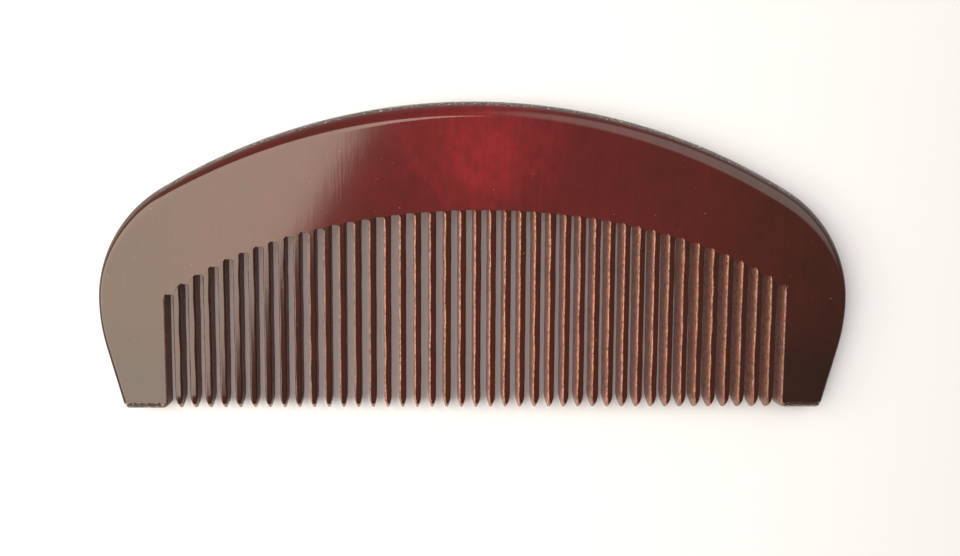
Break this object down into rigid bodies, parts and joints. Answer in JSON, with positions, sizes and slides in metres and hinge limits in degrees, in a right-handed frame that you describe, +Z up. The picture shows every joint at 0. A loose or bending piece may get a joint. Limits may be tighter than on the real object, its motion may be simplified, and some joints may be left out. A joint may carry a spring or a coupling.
{
  "type": "hair comb",
  "caption": "Half-moon wooden hair comb with a curved back, fine pointed teeth in an arch and a broad guard tooth at each end, in glossy red-brown lacquer.",
  "frame": {"origin": "under the middle of the comb's outline, on the flat lower face that it lies on", "axes": "+X along the comb to its right end, +Y to the spine of the back with the teeth pointing to -Y, +Z up through the thickness"},
  "size_m": [0.15, 0.0612, 0.0061],
  "materials": {
    "lacquered_wood": "stained red-brown and lacquered to a high gloss",
    "sawn_wood": "sawn and lightly stained in the cuts, lacquered on the faces"
  },
  "bodies": {
    "root": {"back": "lacquered_wood", "left_end_tooth": "lacquered_wood", "right_end_tooth": "lacquered_wood", "tooth_01": "sawn_wood", "tooth_02": "sawn_wood", "tooth_03": "sawn_wood", "tooth_04": "sawn_wood", "tooth_05": "sawn_wood", "tooth_06": "sawn_wood", "tooth_07": "sawn_wood", "tooth_08": "sawn_wood", "tooth_09": "sawn_wood", "tooth_10": "sawn_wood", "tooth_11": "sawn_wood", "tooth_12": "sawn_wood", "tooth_13": "sawn_wood", "tooth_14": "sawn_wood", "tooth_15": "sawn_wood", "tooth_16": "sawn_wood", "tooth_17": "sawn_wood", "tooth_18": "sawn_wood", "tooth_19": "sawn_wood", "tooth_20": "sawn_wood", "tooth_21": "sawn_wood", "tooth_22": "sawn_wood", "tooth_23": "sawn_wood", "tooth_24": "sawn_wood", "tooth_25": "sawn_wood", "tooth_26": "sawn_wood", "tooth_27": "sawn_wood", "tooth_28": "sawn_wood", "tooth_29": "sawn_wood", "tooth_30": "sawn_wood", "tooth_31": "sawn_wood", "tooth_32": "sawn_wood", "tooth_33": "sawn_wood", "tooth_34": "sawn_wood", "tooth_35": "sawn_wood", "tooth_36": "sawn_wood", "tooth_37": "sawn_wood", "tooth_38": "sawn_wood", "tooth_39": "sawn_wood", "tooth_40": "sawn_wood", "tooth_41": "sawn_wood"}
  },
  "joints": []
}
